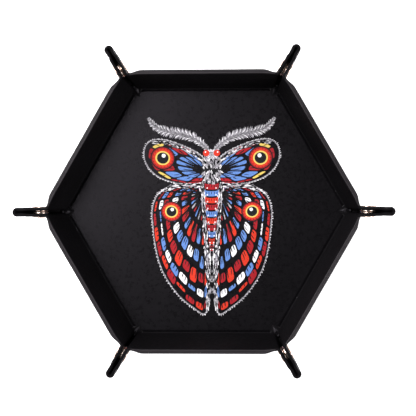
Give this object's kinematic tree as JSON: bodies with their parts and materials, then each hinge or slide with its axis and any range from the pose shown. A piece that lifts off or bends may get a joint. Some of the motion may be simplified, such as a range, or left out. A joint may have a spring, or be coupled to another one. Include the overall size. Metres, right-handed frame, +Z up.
{
  "type": "folding dice tray",
  "caption": "Hexagonal leatherette dice tray whose walls are held up by corners snapped into ears, and fold out flat.",
  "frame": {"origin": "centre of the base's underside, on the table", "axes": "+Z up out of the tray, +X through the middle of ear 1 and from corner to corner, +Y square to a wall"},
  "size_m": [0.2566, 0.2252, 0.049],
  "materials": {
    "lining_leather": "smooth black leatherette with a fine grain and a soft sheen",
    "cover_leather": "black leatherette with a fine pebbled grain",
    "greyboard": "raw grey bookbinder's board",
    "snap_metal": "rose gold plated brass, polished"
  },
  "bodies": {
    "base": {"base_lining": "lining_leather", "base_board": "greyboard", "base_cover": "cover_leather"},
    "wall_1": {"wall_1_lining": "lining_leather", "wall_1_board": "greyboard", "wall_1_cover": "cover_leather"},
    "wall_2": {"wall_2_lining": "lining_leather", "wall_2_board": "greyboard", "wall_2_cover": "cover_leather"},
    "wall_3": {"wall_3_lining": "lining_leather", "wall_3_board": "greyboard", "wall_3_cover": "cover_leather"},
    "wall_4": {"wall_4_lining": "lining_leather", "wall_4_board": "greyboard", "wall_4_cover": "cover_leather"},
    "wall_5": {"wall_5_lining": "lining_leather", "wall_5_board": "greyboard", "wall_5_cover": "cover_leather"},
    "wall_6": {"wall_6_lining": "lining_leather", "wall_6_board": "greyboard", "wall_6_cover": "cover_leather"},
    "ear_1_a": {"ear_1_leaf_a": "cover_leather", "snap_cap_1": "snap_metal", "snap_socket_1": "snap_metal"},
    "ear_1_b": {"ear_1_leaf_b": "cover_leather", "snap_rivet_1": "snap_metal", "snap_stud_1": "snap_metal"},
    "ear_2_a": {"ear_2_leaf_a": "cover_leather", "snap_cap_2": "snap_metal", "snap_socket_2": "snap_metal"},
    "ear_2_b": {"ear_2_leaf_b": "cover_leather", "snap_rivet_2": "snap_metal", "snap_stud_2": "snap_metal"},
    "ear_3_a": {"ear_3_leaf_a": "cover_leather", "snap_cap_3": "snap_metal", "snap_socket_3": "snap_metal"},
    "ear_3_b": {"ear_3_leaf_b": "cover_leather", "snap_rivet_3": "snap_metal", "snap_stud_3": "snap_metal"},
    "ear_4_a": {"ear_4_leaf_a": "cover_leather", "snap_cap_4": "snap_metal", "snap_socket_4": "snap_metal"},
    "ear_4_b": {"ear_4_leaf_b": "cover_leather", "snap_rivet_4": "snap_metal", "snap_stud_4": "snap_metal"},
    "ear_5_a": {"ear_5_leaf_a": "cover_leather", "snap_cap_5": "snap_metal", "snap_socket_5": "snap_metal"},
    "ear_5_b": {"ear_5_leaf_b": "cover_leather", "snap_rivet_5": "snap_metal", "snap_stud_5": "snap_metal"},
    "ear_6_a": {"ear_6_leaf_a": "cover_leather", "snap_cap_6": "snap_metal", "snap_socket_6": "snap_metal"},
    "ear_6_b": {"ear_6_leaf_b": "cover_leather", "snap_rivet_6": "snap_metal", "snap_stud_6": "snap_metal"}
  },
  "joints": [
    {"name": "wall_1_fold", "type": "hinge", "parent": "base", "child": "wall_1", "pos_m": [0.07361, 0.0425, 0.0034], "axis": [0.5, -0.866, 0], "range_deg": [-82, 0]},
    {"name": "ear_1a_fold", "type": "hinge", "parent": "wall_1", "child": "ear_1_a", "pos_m": [0.09749, 0.00115, 0.0034], "axis": [0.1602, 0, 0.9871], "range_deg": [-60.33, 0]},
    {"name": "ear_2b_fold", "type": "hinge", "parent": "wall_1", "child": "ear_2_b", "pos_m": [0.04974, 0.08385, 0.0034], "axis": [0.0801, 0.1387, 0.9871], "range_deg": [0, 60.33]},
    {"name": "wall_2_fold", "type": "hinge", "parent": "base", "child": "wall_2", "pos_m": [0, 0.085, 0.0034], "axis": [1, 0, 0], "range_deg": [-82, 0]},
    {"name": "ear_2a_fold", "type": "hinge", "parent": "wall_2", "child": "ear_2_a", "pos_m": [0.04775, 0.085, 0.0034], "axis": [0.0801, 0.1387, 0.9871], "range_deg": [-60.33, 0]},
    {"name": "ear_3b_fold", "type": "hinge", "parent": "wall_2", "child": "ear_3_b", "pos_m": [-0.04775, 0.085, 0.0034], "axis": [-0.0801, 0.1387, 0.9871], "range_deg": [0, 60.33]},
    {"name": "wall_3_fold", "type": "hinge", "parent": "base", "child": "wall_3", "pos_m": [-0.07361, 0.0425, 0.0034], "axis": [0.5, 0.866, 0], "range_deg": [-82, 0]},
    {"name": "ear_3a_fold", "type": "hinge", "parent": "wall_3", "child": "ear_3_a", "pos_m": [-0.04974, 0.08385, 0.0034], "axis": [-0.0801, 0.1387, 0.9871], "range_deg": [-60.33, 0]},
    {"name": "ear_4b_fold", "type": "hinge", "parent": "wall_3", "child": "ear_4_b", "pos_m": [-0.09749, 0.00115, 0.0034], "axis": [-0.1602, 0, 0.9871], "range_deg": [0, 60.33]},
    {"name": "wall_4_fold", "type": "hinge", "parent": "base", "child": "wall_4", "pos_m": [-0.07361, -0.0425, 0.0034], "axis": [-0.5, 0.866, 0], "range_deg": [-82, 0]},
    {"name": "ear_4a_fold", "type": "hinge", "parent": "wall_4", "child": "ear_4_a", "pos_m": [-0.09749, -0.00115, 0.0034], "axis": [-0.1602, 0, 0.9871], "range_deg": [-60.33, 0]},
    {"name": "ear_5b_fold", "type": "hinge", "parent": "wall_4", "child": "ear_5_b", "pos_m": [-0.04974, -0.08385, 0.0034], "axis": [-0.0801, -0.1387, 0.9871], "range_deg": [0, 60.33]},
    {"name": "wall_5_fold", "type": "hinge", "parent": "base", "child": "wall_5", "pos_m": [0, -0.085, 0.0034], "axis": [-1, 0, 0], "range_deg": [-82, 0]},
    {"name": "ear_5a_fold", "type": "hinge", "parent": "wall_5", "child": "ear_5_a", "pos_m": [-0.04775, -0.085, 0.0034], "axis": [-0.0801, -0.1387, 0.9871], "range_deg": [-60.33, 0]},
    {"name": "ear_6b_fold", "type": "hinge", "parent": "wall_5", "child": "ear_6_b", "pos_m": [0.04775, -0.085, 0.0034], "axis": [0.0801, -0.1387, 0.9871], "range_deg": [0, 60.33]},
    {"name": "wall_6_fold", "type": "hinge", "parent": "base", "child": "wall_6", "pos_m": [0.07361, -0.0425, 0.0034], "axis": [-0.5, -0.866, 0], "range_deg": [-82, 0]},
    {"name": "ear_6a_fold", "type": "hinge", "parent": "wall_6", "child": "ear_6_a", "pos_m": [0.04974, -0.08385, 0.0034], "axis": [0.0801, -0.1387, 0.9871], "range_deg": [-60.33, 0]},
    {"name": "ear_1b_fold", "type": "hinge", "parent": "wall_6", "child": "ear_1_b", "pos_m": [0.09749, -0.00115, 0.0034], "axis": [0.1602, 0, 0.9871], "range_deg": [0, 60.33]}
  ],
  "couplings": [
    {"joint": "ear_1a_fold", "follows": "wall_1_fold", "ratio": 0.73563},
    {"joint": "ear_2b_fold", "follows": "wall_1_fold", "ratio": -0.73563},
    {"joint": "wall_2_fold", "follows": "wall_1_fold", "ratio": 1},
    {"joint": "ear_2a_fold", "follows": "wall_1_fold", "ratio": 0.73563},
    {"joint": "ear_3b_fold", "follows": "wall_1_fold", "ratio": -0.73563},
    {"joint": "wall_3_fold", "follows": "wall_1_fold", "ratio": 1},
    {"joint": "ear_3a_fold", "follows": "wall_1_fold", "ratio": 0.73563},
    {"joint": "ear_4b_fold", "follows": "wall_1_fold", "ratio": -0.73563},
    {"joint": "wall_4_fold", "follows": "wall_1_fold", "ratio": 1},
    {"joint": "ear_4a_fold", "follows": "wall_1_fold", "ratio": 0.73563},
    {"joint": "ear_5b_fold", "follows": "wall_1_fold", "ratio": -0.73563},
    {"joint": "wall_5_fold", "follows": "wall_1_fold", "ratio": 1},
    {"joint": "ear_5a_fold", "follows": "wall_1_fold", "ratio": 0.73563},
    {"joint": "ear_6b_fold", "follows": "wall_1_fold", "ratio": -0.73563},
    {"joint": "wall_6_fold", "follows": "wall_1_fold", "ratio": 1},
    {"joint": "ear_6a_fold", "follows": "wall_1_fold", "ratio": 0.73563},
    {"joint": "ear_1b_fold", "follows": "wall_1_fold", "ratio": -0.73563}
  ]
}
